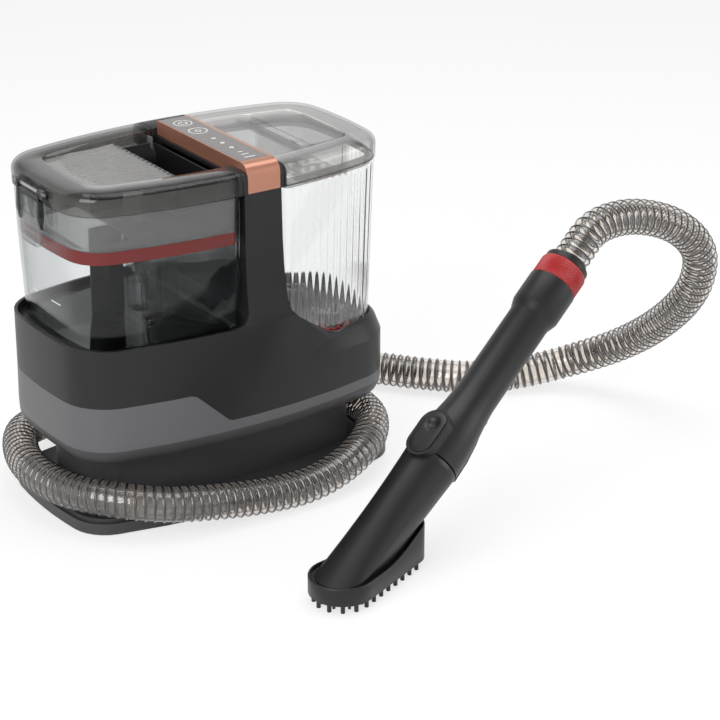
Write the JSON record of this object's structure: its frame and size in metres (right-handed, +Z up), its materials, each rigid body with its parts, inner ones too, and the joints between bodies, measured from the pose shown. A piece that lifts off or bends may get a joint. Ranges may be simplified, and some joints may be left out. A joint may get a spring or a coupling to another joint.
{
  "type": "spot extractor",
  "caption": "Portable carpet and upholstery spot cleaner: clear dirty and clean water tanks on a low base, a ribbed suction hose wrapped round its neck and a hand wand with brush head",
  "frame": {"origin": "centre of the machine's footprint on the floor", "axes": "+X towards the clean water tank, -Y the front with the grey band and the wand, +Z up"},
  "size_m": [0.6588, 0.4926, 0.332],
  "materials": {
    "housing_black": "fine satin moulded ABS",
    "shell_grey": "satin grey moulded ABS",
    "neck_grey": "fine-textured dark ABS",
    "copper_frame": "metallic rose-copper lacquer over plastic",
    "panel_black": "high-gloss black key panel",
    "smoked_clear": "smoked clear SAN plastic",
    "clear": "clear SAN plastic",
    "red_seal": "red silicone",
    "black_rubber": "black soft rubber",
    "wand_black": "fine spark-eroded black ABS",
    "ring_red": "red moulded plastic",
    "hose_clear": "grey translucent PVC with a dark spiral",
    "bristle": "black nylon",
    "steel": "plain steel",
    "motor_metal": "pressed motor can",
    "heater_metal": "cast aluminium",
    "board": "green circuit board",
    "inner_black": "plain moulded plastic"
  },
  "bodies": {
    "body": {"foot_plate": "neck_grey", "rubber_feet": "black_rubber", "housing_screws": "steel", "neck_shell": "neck_grey", "skirt_shell": "shell_grey", "upper_housing": "housing_black", "tray_floor": "housing_black", "copper_trim": "copper_frame", "panel_glass": "panel_black", "touch_board": "board", "control_board": "board", "vacuum_motor": "motor_metal", "fan_housing": "inner_black", "air_duct": "inner_black", "suction_pipe": "inner_black", "hose_elbow": "housing_black", "water_pump": "inner_black", "heater": "heater_metal", "feed_tube": "clear", "solution_tube": "clear", "mains_gland": "black_rubber", "valve_spring": "steel", "hose": "hose_clear", "hose_cuff": "wand_black", "handle_shell": "wand_black", "wand_tube": "inner_black", "trigger_pin": "steel", "trigger_spring": "steel", "spray_valve": "inner_black", "release_spring": "steel"},
    "dirty_tank_unit": {"dirty_tank": "clear", "dirty_riser": "clear", "float_cage": "inner_black"},
    "float_unit": {"float": "red_seal"},
    "dirty_lid_unit": {"dirty_lid": "smoked_clear", "grip_well": "housing_black", "lid_separator": "smoked_clear", "separator_seal": "red_seal", "latch_pin": "steel"},
    "latch_unit": {"tank_latch": "housing_black"},
    "clean_tank_unit": {"clean_tank": "clear", "clean_lid": "smoked_clear", "lid_basin": "smoked_clear", "clean_lid_seal": "black_rubber", "flap_pin": "steel", "valve_seal": "red_seal"},
    "flap_unit": {"fill_flap": "smoked_clear"},
    "valve_unit": {"valve_poppet": "inner_black"},
    "fan_unit": {"fan_rotor": "motor_metal"},
    "ring_unit": {"lock_ring": "ring_red"},
    "trigger_unit": {"trigger": "wand_black"},
    "stem_unit": {"valve_stem": "steel"},
    "button_unit": {"release_button": "wand_black"},
    "brush_tool_unit": {"tool_body": "wand_black", "brush_plate": "wand_black", "brush_bristles": "bristle", "suction_lip": "clear", "spray_nozzle": "inner_black"}
  },
  "joints": [
    {"name": "dirty_tank_lift", "type": "slide", "parent": "body", "child": "dirty_tank_unit", "axis": [0, 0, 1], "range_m": [0, 0.05]},
    {"name": "float_rise", "type": "slide", "parent": "dirty_tank_unit", "child": "float_unit", "axis": [0, 0, 1], "range_m": [0, 0.009]},
    {"name": "dirty_lid_lift", "type": "slide", "parent": "dirty_tank_unit", "child": "dirty_lid_unit", "axis": [0, 0, 1], "range_m": [0, 0.05]},
    {"name": "latch_hinge", "type": "hinge", "parent": "dirty_lid_unit", "child": "latch_unit", "pos_m": [-0.168, 0.004, 0.315], "axis": [0, 1, 0], "range_deg": [0, 70]},
    {"name": "clean_tank_lift", "type": "slide", "parent": "body", "child": "clean_tank_unit", "axis": [0, 0, 1], "range_m": [0, 0.05]},
    {"name": "flap_hinge", "type": "hinge", "parent": "clean_tank_unit", "child": "flap_unit", "pos_m": [0.0835, 0, 0.3229], "axis": [0, -1, 0], "range_deg": [0, 105]},
    {"name": "valve_lift", "type": "slide", "parent": "clean_tank_unit", "child": "valve_unit", "axis": [0, 0, 1], "range_m": [0, 0.003], "stiffness_N_per_m": 150, "deforming": ["valve_spring"]},
    {"name": "fan_spin", "type": "hinge", "parent": "body", "child": "fan_unit", "pos_m": [-0.107, 0.007, 0.13], "axis": [0, 0, 1], "continuous": true},
    {"name": "lock_ring_turn", "type": "hinge", "parent": "body", "child": "ring_unit", "pos_m": [0.25733, -0.21548, 0.20736], "axis": [0.8062, 0.2312, 0.5446], "range_deg": [0, 45]},
    {"name": "trigger_pull", "type": "hinge", "parent": "body", "child": "trigger_unit", "pos_m": [0.13776, -0.24976, 0.10512], "axis": [-0.2756, 0.9613, 0], "range_deg": [0, 8], "stiffness_Nm_per_rad": 0.6, "deforming": ["trigger_spring"]},
    {"name": "stem_push", "type": "slide", "parent": "body", "child": "stem_unit", "axis": [-0.5235, -0.1501, 0.8387], "range_m": [0, 0.0021]},
    {"name": "button_press", "type": "slide", "parent": "body", "child": "button_unit", "axis": [0.5235, 0.1501, -0.8387], "range_m": [0, 0.003], "stiffness_N_per_m": 300, "deforming": ["release_spring"]},
    {"name": "brush_slide", "type": "slide", "parent": "body", "child": "brush_tool_unit", "axis": [-0.8062, -0.2312, -0.5446], "range_m": [0, 0.03]}
  ],
  "couplings": [
    {"joint": "stem_push", "follows": "trigger_pull", "m_per_rad": 0.014}
  ]
}
